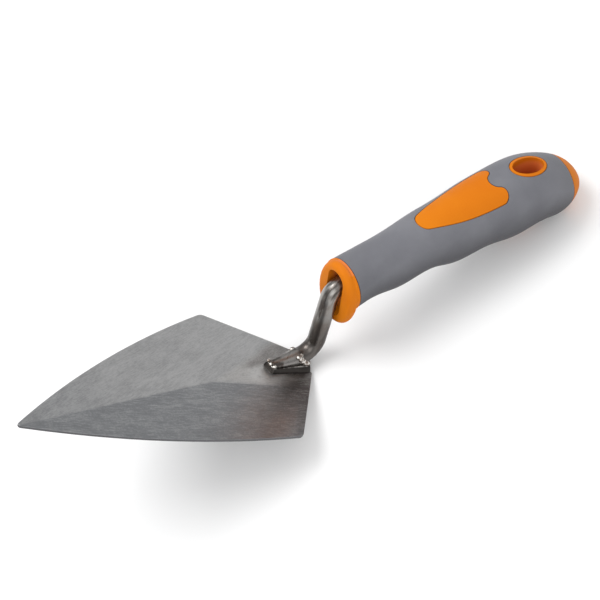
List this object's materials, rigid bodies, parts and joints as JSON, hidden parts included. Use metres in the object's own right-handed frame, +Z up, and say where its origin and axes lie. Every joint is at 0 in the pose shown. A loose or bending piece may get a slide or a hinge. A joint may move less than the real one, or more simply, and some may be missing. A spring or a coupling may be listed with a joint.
{
  "type": "brick trowel",
  "caption": "Hand trowel with a kite-shaped steel blade, a cranked steel tang welded to its heel and a contoured soft-grip handle with a hang hole in the butt.",
  "frame": {"origin": "on the bench, under the middle of the trowel's length and width, with the trowel lying as it rests: the heel of the blade and the underside of the handle touch z = 0 and the tip is raised", "axes": "+X from the blade's tip to the handle's butt, +Z up, +Y across the blade"},
  "size_m": [0.2739, 0.0754, 0.0846],
  "materials": {
    "blade_steel": "ground and lightly lacquered, with fine streaks along the edges",
    "forged_steel": "dark polished forging",
    "weld_steel": "bright dressed weld",
    "hard_plastic": "semi-gloss moulded orange",
    "soft_grip": "matte moulded soft grip, grey"
  },
  "bodies": {
    "root": {"blade": "blade_steel", "tang": "forged_steel", "weld_bead": "weld_steel", "handle_core": "hard_plastic", "grip_sleeve": "soft_grip"}
  },
  "joints": []
}
